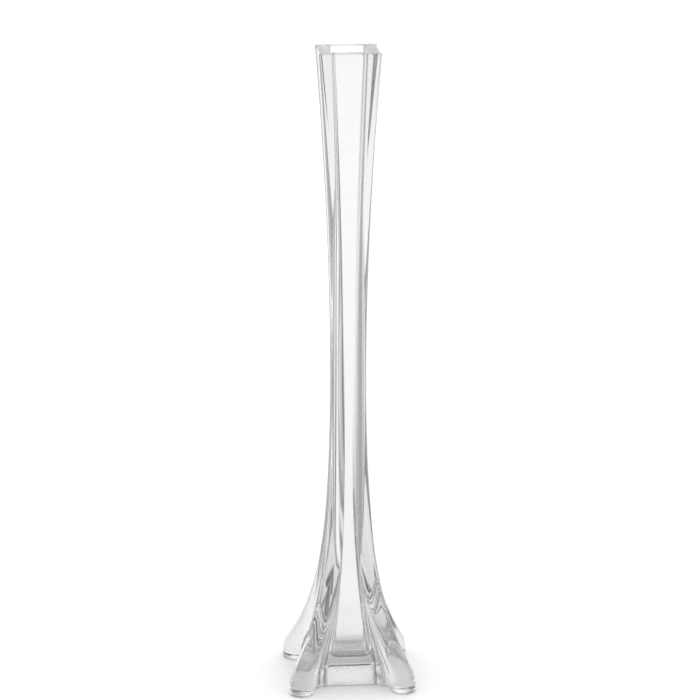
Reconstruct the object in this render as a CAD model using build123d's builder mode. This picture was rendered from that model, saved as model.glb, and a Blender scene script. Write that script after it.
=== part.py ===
"""Tall square flower vase in clear pressed glass, standing on four splayed feet.

The vase is a single moulding.  Four corner posts run from the feet to the mouth.  Each side
between two posts is a flat panel, sunk below them, that meets each post in a hollow curve.
Origin: centre of the footprint, at the level it stands on.
"""

import os
from math import atan2, cos, exp, pi, sin

from build123d import *

# Overall sizes, mm; a half is measured from the axis to the outside of the posts
vase_height = 508.0
foot_half = 50.5
waist_half = 13.0
mouth_half = 24.1

# Sweep of the legs and flare of the mouth, mm
foot_height = 13.5
foot_turn = 3.7
leg_fade = 57.3
flare_start = 218.0

# Radius of the corner posts, width of a post with its hollow, and sink of the panels between, mm
foot_post = 10.0
waist_post = 6.5
mouth_post = 4.0
foot_leg = 34.0
waist_leg = 10.0
mouth_leg = 14.0
foot_sink = 22.2
waist_sink = 0.25
mouth_sink = 0.9

# Glass behind the panels, and the hollow inside, mm
foot_wall = 5.6
waist_wall = 3.15
mouth_wall = 8.9
floor_thickness = 19.0
floor_round = 9.0
floor_corner = 18.0
waist_corner = 5.8
mouth_corner = 3.0
corner_fade = 4

# Softened edges, mm
foot_edge = 2.0
rim_edge = 1.2

# Levels of the sections that the glass is drawn through, mm
foot_levels = (0.0, 7.0, 14.0, 21.0, 29.0, 40.0, 55.0, 75.0, 100.0, 135.0, 180.0)
mouth_steps = 5


def leg_share(height):
    """Share of the leg's reach left at a height: whole in the foot, then fading up the stem."""
    return (1 + exp((height - foot_height) / foot_turn)) ** (-foot_turn / leg_fade)


def mouth_share(height):
    """Share of the mouth's flare reached at a height: a parabola from where the flare starts."""
    return max(0.0, (height - flare_start) / (vase_height - flare_start)) ** 2


def size_at(height, foot, waist, mouth):
    """A size that goes from its foot value through its waist value to its mouth value."""
    return waist + (foot - waist) * leg_share(height) + (mouth - waist) * mouth_share(height)


def panelled_square(half, post, leg, sink):
    """Square outline with a round post at each corner and a sunk flat panel along each side."""
    post_centre = half - post
    panel = half - leg
    side = half - sink
    hollow = ((post_centre - panel) ** 2 + (side - post_centre) ** 2 - post**2) / (2 * sink)
    touch = atan2(panel - post_centre, side + hollow - post_centre)
    low = Vector(post_centre + post * cos(touch), post_centre + post * sin(touch))
    tip = Vector(1, 1) * (post_centre + post * cos(pi / 4))
    high = Vector(low.Y, low.X)
    corners = [Vector(side, -panel), Vector(side, panel), low, tip, high, Vector(panel, side)]
    with BuildLine() as outline:
        for turn in (0, 90, 180, 270):
            start, end, low, tip, high, following = [point.rotate(Axis.Z, turn) for point in corners]
            Line(start, end)
            TangentArc(end, low, tangent=Vector(0, 1).rotate(Axis.Z, turn))
            ThreePointArc(low, tip, high)
            TangentArc(following, high, tangent=Vector(1, 0).rotate(Axis.Z, turn))
    return outline.line


def bore_half(height):
    """Half width of the hollow at a height: the wall's thickness in from the panels."""
    return size_at(
        height,
        foot_half - foot_sink - foot_wall,
        waist_half - waist_sink - waist_wall,
        mouth_half - mouth_sink - mouth_wall,
    )


def bore_corner(height):
    """Corner radius of the hollow at a height: it turns nearly round just above the floor."""
    grown = (floor_corner - waist_corner) * leg_share(height) ** corner_fade
    return waist_corner + grown + (mouth_corner - waist_corner) * mouth_share(height)


mouth_step = (vase_height - flare_start) / mouth_steps
mouth_levels = tuple(flare_start + mouth_step * step for step in range(mouth_steps + 1))
bore_levels = [level for level in foot_levels + mouth_levels if level > floor_thickness + floor_round]

# The hollow, from its round-edged floor to the open mouth
with BuildPart() as bore:
    for level in [floor_thickness, *bore_levels]:
        with BuildSketch(Plane.XY.offset(level)):
            RectangleRounded(2 * bore_half(level), 2 * bore_half(level), bore_corner(level))
    loft()
    fillet(bore.faces().sort_by(Axis.Z)[0].edges(), floor_round)

with BuildPart() as glass_vase:
    for level in foot_levels + mouth_levels:
        with BuildSketch(Plane.XY.offset(level)):
            with BuildLine():
                add(panelled_square(
                    size_at(level, foot_half, waist_half, mouth_half),
                    size_at(level, foot_post, waist_post, mouth_post),
                    size_at(level, foot_leg, waist_leg, mouth_leg),
                    size_at(level, foot_sink, waist_sink, mouth_sink),
                ))
            make_face()
    loft()
    fillet(glass_vase.faces().sort_by(Axis.Z)[0].edges(), foot_edge)
    add(bore.part, mode=Mode.SUBTRACT)
    fillet(glass_vase.faces().sort_by(Axis.Z)[-1].edges(), rim_edge)

glass_vase.part.label = "glass_vase"
os.makedirs("parts", exist_ok=True)
export_step(glass_vase.part, "parts/glass_vase.step")
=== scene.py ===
from math import atan2, cos, exp, pi, radians, sin

import bpy
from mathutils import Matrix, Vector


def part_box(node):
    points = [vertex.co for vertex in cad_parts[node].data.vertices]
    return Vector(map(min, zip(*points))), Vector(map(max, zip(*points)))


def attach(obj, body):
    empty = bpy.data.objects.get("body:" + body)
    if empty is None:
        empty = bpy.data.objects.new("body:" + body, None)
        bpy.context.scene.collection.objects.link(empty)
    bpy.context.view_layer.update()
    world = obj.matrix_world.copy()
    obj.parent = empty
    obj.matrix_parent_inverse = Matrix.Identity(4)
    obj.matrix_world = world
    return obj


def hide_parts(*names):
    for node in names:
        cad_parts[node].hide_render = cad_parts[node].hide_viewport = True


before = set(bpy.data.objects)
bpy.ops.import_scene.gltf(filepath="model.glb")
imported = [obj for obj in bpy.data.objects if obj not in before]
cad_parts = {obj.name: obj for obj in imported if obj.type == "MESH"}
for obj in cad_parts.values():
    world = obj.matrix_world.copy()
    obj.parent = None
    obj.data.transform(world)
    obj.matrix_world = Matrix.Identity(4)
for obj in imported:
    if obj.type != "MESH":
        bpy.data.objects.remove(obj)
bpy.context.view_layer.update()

# ---------------------------------------------------------------- The vase
# One piece of clear soda-lime glass, formed hot in a mould.  Four corner posts run from the
# splayed feet up to the mouth, with a flat sunk panel between each two, and the hollow follows
# the panels down to a thick floor.  A flame has rounded the edges of the feet and the mouth.

MM = 0.001
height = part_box("glass_vase")[1][2]

FOOT_HALF, WAIST_HALF, MOUTH_HALF = 50.5 * MM, 13.0 * MM, 24.1 * MM
FOOT_POST, WAIST_POST, MOUTH_POST = 10.0 * MM, 6.5 * MM, 4.0 * MM
FOOT_LEG, WAIST_LEG, MOUTH_LEG = 34.0 * MM, 10.0 * MM, 14.0 * MM
FOOT_SINK, WAIST_SINK, MOUTH_SINK = 22.2 * MM, 0.25 * MM, 0.9 * MM
FOOT_HEIGHT, FOOT_TURN, LEG_FADE = 13.5 * MM, 3.7 * MM, 57.3 * MM
FLARE_START = 218.0 * MM
FOOT_WALL, WAIST_WALL, MOUTH_WALL = 5.6 * MM, 3.15 * MM, 8.9 * MM
FLOOR_CORNER, WAIST_CORNER, MOUTH_CORNER = 18.0 * MM, 5.8 * MM, 3.0 * MM
CORNER_FADE = 4
FLOOR_THICKNESS, FLOOR_ROUND = 19.0 * MM, 9.0 * MM
FOOT_EDGE, RIM_EDGE = 2.0 * MM, 1.2 * MM

SIDE_POINTS = 12
POST_POINTS = 14
LEVELS = 200
EDGE_STEPS = 8
FLAT_STEPS = 12
FLAT_BORDER = 0.3 * MM
EVEN_SHARE, CROWDING = 0.35, 2.2


def leg_share(level):
    """Share of the leg's reach left at a level: whole in the foot, then fading up the stem."""
    return (1 + exp((level - FOOT_HEIGHT) / FOOT_TURN)) ** (-FOOT_TURN / LEG_FADE)


def mouth_share(level):
    """Share of the mouth's flare reached at a level: a parabola from where the flare starts."""
    return max(0.0, (level - FLARE_START) / (height - FLARE_START)) ** 2


def size_at(level, foot, waist, mouth):
    """A size that goes from its foot value through its waist value to its mouth value."""
    return waist + (foot - waist) * leg_share(level) + (mouth - waist) * mouth_share(level)


def four_sided(quarter, level):
    """Ring of points at a level: the points of one side and its corner, turned to all four."""
    turns = ((1, 0), (0, 1), (-1, 0), (0, -1))
    return [(x * c - y * s, x * s + y * c, level) for c, s in turns for x, y in quarter]


def arc(centre, radius, start, end, count):
    """Points along an arc from one angle to just short of another."""
    angles = [start + (end - start) * step / count for step in range(count)]
    return [(centre[0] + radius * cos(angle), centre[1] + radius * sin(angle)) for angle in angles]


def outside(level, inset=0.0):
    """The outside of the glass at a level, drawn in by an inset where an edge is rounded."""
    half = size_at(level, FOOT_HALF, WAIST_HALF, MOUTH_HALF) - inset
    post = size_at(level, FOOT_POST, WAIST_POST, MOUTH_POST) - inset
    panel = half + inset - size_at(level, FOOT_LEG, WAIST_LEG, MOUTH_LEG)
    sink = size_at(level, FOOT_SINK, WAIST_SINK, MOUTH_SINK)
    post_centre = half - post
    side = half - sink
    bend = ((post_centre - panel) ** 2 + (side - post_centre) ** 2 - post**2) / (2 * sink)
    touch = atan2(panel - post_centre, side + bend - post_centre)
    quarter = arc((side + bend, -panel), bend, -pi - touch, -pi, SIDE_POINTS)
    quarter += [(side, panel * (2 * step / SIDE_POINTS - 1)) for step in range(SIDE_POINTS)]
    quarter += arc((side + bend, panel), bend, pi, pi + touch, SIDE_POINTS)
    quarter += arc((post_centre, post_centre), post, touch, pi / 2 - touch, POST_POINTS)
    return four_sided(quarter, level)


def hollow(level, inset=0.0):
    """The wall of the hollow at a level, drawn in by an inset, or let out by a negative one."""
    panel = size_at(level, FOOT_HALF - FOOT_SINK, WAIST_HALF - WAIST_SINK, MOUTH_HALF - MOUTH_SINK)
    half = panel - size_at(level, FOOT_WALL, WAIST_WALL, MOUTH_WALL) - inset
    corner = WAIST_CORNER + (FLOOR_CORNER - WAIST_CORNER) * leg_share(level) ** CORNER_FADE
    corner += (MOUTH_CORNER - WAIST_CORNER) * mouth_share(level) - inset
    centre = half - corner
    count = 3 * SIDE_POINTS
    quarter = [(half, centre * (2 * step / count - 1)) for step in range(count)]
    quarter += arc((centre, centre), corner, 0, pi / 2, POST_POINTS)
    return four_sided(quarter, level)


def spread(low, high):
    """Levels from low to high, both left out, closer together where the legs curve."""
    shares = [step / LEVELS for step in range(1, LEVELS)]
    crowded = [EVEN_SHARE * share + (1 - EVEN_SHARE) * share**CROWDING for share in shares]
    return [low + (high - low) * share for share in crowded]


edge_turns = [pi / 2 * step / EDGE_STEPS for step in range(EDGE_STEPS + 1)]
cove_turns = [pi / 4 * step / EDGE_STEPS for step in range(2 * EDGE_STEPS + 1)]
flat_shares = [step / FLAT_STEPS for step in range(1, FLAT_STEPS)]
shoulder = height - RIM_EDGE
cove_top = FLOOR_THICKNESS + FLOOR_ROUND

# the flat sole starts a little inside the rounded edge, so that it is shaded flat to its border
rings = [outside(0.0, FOOT_EDGE + FLAT_BORDER)]
for turn in edge_turns:
    rings.append(outside(FOOT_EDGE * (1 - cos(turn)), FOOT_EDGE * (1 - sin(turn))))
for level in spread(FOOT_EDGE, shoulder):
    rings.append(outside(level))
for turn in edge_turns:
    rings.append(outside(shoulder + RIM_EDGE * sin(turn), RIM_EDGE * (1 - cos(turn))))
for turn in reversed(edge_turns):
    rings.append(hollow(shoulder + RIM_EDGE * sin(turn), -RIM_EDGE * (1 - cos(turn))))
for level in reversed(spread(cove_top, shoulder)):
    rings.append(hollow(level))
for turn in cove_turns:
    rings.append(hollow(cove_top - FLOOR_ROUND * sin(turn), FLOOR_ROUND * (1 - cos(turn))))
floor_edge = rings[-1]
for share in reversed(flat_shares):
    rings.append([(x * share, y * share, z) for x, y, z in floor_edge])

around = len(floor_edge)
points = [point for ring in rings for point in ring] + [(0, 0, FLOOR_THICKNESS)]
middle = len(points) - 1
faces = [tuple(reversed(range(around)))]
for n in range(around):
    after = (n + 1) % around
    for first in range(0, (len(rings) - 1) * around, around):
        faces.append((first + n, first + after, first + around + after, first + around + n))
    faces.append((middle, middle - around + n, middle - around + after))
mesh = bpy.data.meshes.new("vase_glass")
mesh.from_pydata(points, [], faces)
mesh.shade_smooth()
vase = bpy.data.objects.new("vase_glass", mesh)
bpy.context.scene.collection.objects.link(vase)


def linear(code):
    """A colour written as sRGB hex, turned to linear for a socket."""
    values = [int(code[i:i + 2], 16) / 255 for i in (1, 3, 5)]
    return tuple(v / 12.92 if v <= 0.04045 else ((v + 0.055) / 1.055) ** 2.4 for v in values) + (1.0,)


def add_node(tree, kind, settings=(), **links):
    """A node with its settings, its plain inputs and the outputs linked into it."""
    node = tree.nodes.new(kind)
    for name, value in settings:
        setattr(node, name, value)
    for name, value in links.items():
        socket = node.inputs[int(name[1:])] if name[1:].isdigit() else node.inputs[name]
        if isinstance(value, bpy.types.NodeSocket):
            tree.links.new(value, socket)
        else:
            socket.default_value = value
    return node


def maths(tree, operation, first, second=0.0):
    """The output of one sum done in a material or in the light."""
    return add_node(tree, "ShaderNodeMath", [("operation", operation)], _0=first, _1=second).outputs[0]


# Clear soda-lime glass, smoothed by a flame.  It has no roughness, so each edge bends the light
# sharply, and a faint grey taken up on the way makes thick glass darker than thin.
GLASS_INDEX, GREY_PER_METRE = 1.52, 9.0
glass = bpy.data.materials.new("soda_lime_glass_fire_polished")
glass.use_nodes = True
glass_tree = glass.node_tree
shader = glass_tree.nodes["Principled BSDF"]
shader.inputs["Base Color"].default_value = linear("#fbfbfb")
shader.inputs["Transmission Weight"].default_value = 1.0
shader.inputs["Roughness"].default_value = 0.0
shader.inputs["IOR"].default_value = GLASS_INDEX
absorption = add_node(
    glass_tree, "ShaderNodeVolumeAbsorption", Color=linear("#8f9492"), Density=GREY_PER_METRE
)
glass_tree.links.new(absorption.outputs[0], glass_tree.nodes["Material Output"].inputs["Volume"])

# the sole alone keeps a faint grain from the mould, in lumps a few mm across, round a plain square
GRAIN_SIZE, GRAIN_DEPTH, GRAIN_DETAIL = 2.6 * MM, 0.6 * MM, 2.0
PLAIN_SQUARE, SOLE_SKIN = 9.5 * MM, 0.1 * MM
place = add_node(glass_tree, "ShaderNodeTexCoord").outputs["Object"]
axes = add_node(glass_tree, "ShaderNodeSeparateXYZ", Vector=place).outputs
across = maths(glass_tree, "ABSOLUTE", axes["X"])
along = maths(glass_tree, "ABSOLUTE", axes["Y"])
reach = maths(glass_tree, "MAXIMUM", across, along)
outer = add_node(glass_tree, "ShaderNodeMapRange", _0=reach, _1=PLAIN_SQUARE, _2=PLAIN_SQUARE + MM)
under = add_node(glass_tree, "ShaderNodeMapRange", _0=axes["Z"], _1=0.0, _2=SOLE_SKIN, _3=1.0, _4=0.0)
rough = maths(glass_tree, "MULTIPLY", outer.outputs[0], under.outputs[0])
grain = add_node(
    glass_tree, "ShaderNodeTexNoise", Vector=place, Scale=1 / GRAIN_SIZE, Detail=GRAIN_DETAIL
)
pits = add_node(
    glass_tree, "ShaderNodeBump", Strength=rough, Distance=GRAIN_DEPTH, Height=grain.outputs[0]
)
glass_tree.links.new(pits.outputs["Normal"], shader.inputs["Normal"])
mesh.materials.append(glass)
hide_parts("glass_vase")
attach(vase, "root")

# ---------------------------------------------------------------- The table
# A small round stand of board, painted matt white.  The paint has almost no shine, so the stand
# stays pale and even under the glass.
STAND_RADIUS, STAND_GAP, STAND_CORNERS = 0.12, 0.3 * MM, 128
PAINT_ROUGHNESS = 0.9
bpy.ops.mesh.primitive_circle_add(vertices=STAND_CORNERS, radius=STAND_RADIUS, fill_type="NGON")
table = bpy.context.object
table.name = "pale_stand"
table.location.z = -STAND_GAP
paint = bpy.data.materials.new("matt_white_paint")
paint.use_nodes = True
paint_shader = paint.node_tree.nodes["Principled BSDF"]
paint_shader.inputs["Base Color"].default_value = linear("#f4f4f4")
paint_shader.inputs["Roughness"].default_value = PAINT_ROUGHNESS
table.data.materials.append(paint)

# ---------------------------------------------------------------- The light
# White panels stand all round with darker gaps between them, which the glass draws as grey lines
# along its edges.  The panels get brighter upwards, and a soft ceiling lights the whole.

# azimuth in degrees, clockwise seen from above and from the +Y side, and brightness there
FULL = 1.02
PANELS = (
    (-180, 0.5), (-150, 0.35), (-106, 0.35), (-99, FULL), (-81, FULL), (-74, 0.3), (-61, 0.3),
    (-54, FULL), (-36, FULL), (-30, 0.22), (-21, 0.22), (-14, FULL), (18, FULL), (32, 0.6),
    (60, 0.4), (95, 0.4), (115, 0.6), (125, FULL), (145, FULL), (155, 0.6), (180, 0.5),
)
# height of a direction, as the sine of its angle above the level, and the light at each
LOW, HIGH, LOW_LIGHT, HIGH_LIGHT = -0.42, -0.15, FULL, 1.22
CEILING_START, CEILING_WHOLE, CEILING_LIGHT = 0.45, 0.75, 1.5
BOUNCES, MIRROR_BOUNCES = 48, 24

world = bpy.data.worlds.new("soft_panels")
bpy.context.scene.world = world
world.use_nodes = True
tree = world.node_tree
direction = add_node(tree, "ShaderNodeTexCoord").outputs["Generated"]
parts = add_node(tree, "ShaderNodeSeparateXYZ", Vector=direction).outputs
angle = maths(tree, "ARCTAN2", parts["X"], parts["Y"])
turned = add_node(tree, "ShaderNodeMapRange", _0=angle, _1=-pi, _2=pi, _3=0.0, _4=1.0)
ramp = add_node(tree, "ShaderNodeValToRGB", Fac=turned.outputs[0])
stops = ramp.color_ramp.elements
stops.remove(stops[1])
for n, (azimuth, value) in enumerate(PANELS):
    stop = stops[0] if n == 0 else stops.new((azimuth + 180) / 360)
    stop.color = (value / FULL, value / FULL, value / FULL, 1.0)
rise = add_node(tree, "ShaderNodeMapRange", _0=parts["Z"], _1=LOW, _2=HIGH, _3=LOW_LIGHT, _4=HIGH_LIGHT)
walls = maths(tree, "MULTIPLY", ramp.outputs[0], rise.outputs[0])
above = add_node(
    tree, "ShaderNodeMapRange", [("interpolation_type", "SMOOTHSTEP")],
    _0=parts["Z"], _1=CEILING_START, _2=CEILING_WHOLE, _3=0.0, _4=1.0,
)
light = add_node(
    tree, "ShaderNodeMix", [("data_type", "FLOAT")], _0=above.outputs[0], _2=walls, _3=CEILING_LIGHT
)
tree.links.new(light.outputs[0], tree.nodes["Background"].inputs["Strength"])
tree.nodes["Background"].inputs["Color"].default_value = (1, 1, 1, 1)
bpy.context.scene.view_settings.view_transform = "Standard"

# light crosses the thick legs many times before it leaves them
bpy.context.scene.cycles.max_bounces = BOUNCES
bpy.context.scene.cycles.transmission_bounces = BOUNCES
bpy.context.scene.cycles.glossy_bounces = MIRROR_BOUNCES

# ---------------------------------------------------------------- The camera
# A long lens stands a little left of the front, well above the mouth, and looks down on the vase.
SENSOR_WIDTH, LENS_TO_SENSOR = 36, 29 / 7
YAW, TIP_DEGREES = radians(4.8), 15.63
AWAY, UP, FARTHEST = 4.30 * height, 1.735 * height, 100
SIDE_SHIFT = 17 / 7000
camera_data = bpy.data.cameras.new("camera")
camera_data.sensor_width = SENSOR_WIDTH
camera_data.lens = SENSOR_WIDTH * LENS_TO_SENSOR
camera_data.shift_x = SIDE_SHIFT
camera_data.clip_end = FARTHEST
camera = bpy.data.objects.new("camera", camera_data)
bpy.context.scene.collection.objects.link(camera)
camera.location = (-AWAY * sin(YAW), -AWAY * cos(YAW), UP)
camera.rotation_euler = (radians(90 - TIP_DEGREES), 0, -YAW)
bpy.context.scene.camera = camera
